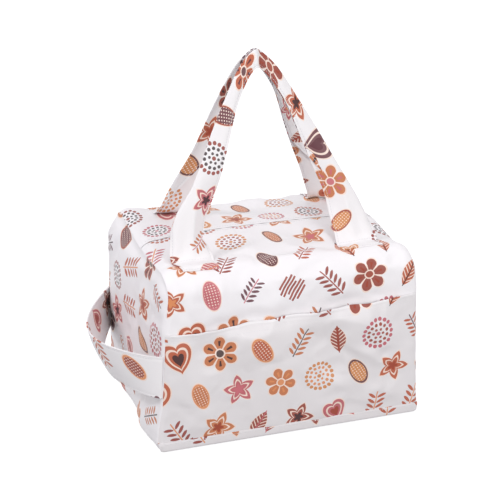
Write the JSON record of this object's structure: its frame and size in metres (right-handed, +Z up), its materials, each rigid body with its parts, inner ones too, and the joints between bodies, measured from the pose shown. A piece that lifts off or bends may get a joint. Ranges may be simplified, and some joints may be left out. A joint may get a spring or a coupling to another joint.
{
  "type": "zip-top fabric wet bag",
  "caption": "Boxy water-resistant fabric bag for nappies: zip top, two carry handles, front slip pocket and a grab strap on one end.",
  "frame": {"origin": "middle of the base where it meets the floor, leaving out the grab strap that stands out on the left", "axes": "+X towards the right end, -Y towards the front pocket, +Z up"},
  "size_m": [0.426, 0.2787, 0.485],
  "materials": {
    "printed_cloth": null,
    "strap_cloth": "the same printed cloth, folded double and topstitched along both edges",
    "lining_cloth": "plain white waterproof lining, smooth with a slight sheen",
    "zip_tape": "woven white polyester tape",
    "zip_nylon": "white nylon coil",
    "zip_metal": "die-cast zinc, white enamel"
  },
  "bodies": {
    "bag": {"base_panel": "printed_cloth", "front_panel": "printed_cloth", "back_panel": "printed_cloth", "left_end_panel": "printed_cloth", "right_end_panel": "printed_cloth", "base_lining": "lining_cloth", "front_lining": "lining_cloth", "back_lining": "lining_cloth", "left_end_lining": "lining_cloth", "right_end_lining": "lining_cloth", "front_pocket": "printed_cloth", "pocket_hem": "printed_cloth", "grab_strap": "strap_cloth"},
    "front_top": {"front_top_panel": "printed_cloth", "front_top_lining": "lining_cloth", "front_zip_tape": "zip_tape", "front_zip_coil": "zip_nylon", "front_zip_stop": "zip_metal", "front_handle_left_end": "strap_cloth", "front_handle_right_end": "strap_cloth"},
    "rear_top": {"rear_top_panel": "printed_cloth", "rear_top_lining": "lining_cloth", "rear_zip_tape": "zip_tape", "rear_zip_coil": "zip_nylon", "rear_zip_stop": "zip_metal", "rear_handle_left_end": "strap_cloth", "rear_handle_right_end": "strap_cloth"},
    "front_handle": {"front_handle": "strap_cloth"},
    "rear_handle": {"rear_handle": "strap_cloth"},
    "zip_slider": {"zip_slider": "zip_metal"},
    "zip_pull": {"zip_pull": "zip_metal"}
  },
  "joints": [
    {"name": "front_top_open", "type": "hinge", "parent": "bag", "child": "front_top", "pos_m": [0, -0.134, 0.205], "axis": [1, 0, 0], "range_deg": [0, 60]},
    {"name": "rear_top_open", "type": "hinge", "parent": "bag", "child": "rear_top", "pos_m": [0, 0.134, 0.205], "axis": [-1, 0, 0], "range_deg": [0, 60]},
    {"name": "front_handle_fold", "type": "hinge", "parent": "front_top", "child": "front_handle", "pos_m": [0, -0.08, 0.2462], "axis": [1, 0, 0], "range_deg": [0, 100]},
    {"name": "rear_handle_fold", "type": "hinge", "parent": "rear_top", "child": "rear_handle", "pos_m": [0, 0.08, 0.2462], "axis": [-1, 0, 0], "range_deg": [0, 100]},
    {"name": "zip_slide", "type": "slide", "parent": "front_top", "child": "zip_slider", "axis": [-1, 0, 0], "range_m": [0, 0.24]},
    {"name": "zip_pull_swing", "type": "hinge", "parent": "zip_slider", "child": "zip_pull", "pos_m": [0.122, 0, 0.2487], "axis": [0, -1, 0], "range_deg": [0, 170]}
  ],
  "couplings": [
    {"joint": "rear_top_open", "follows": "front_top_open", "ratio": 1}
  ]
}
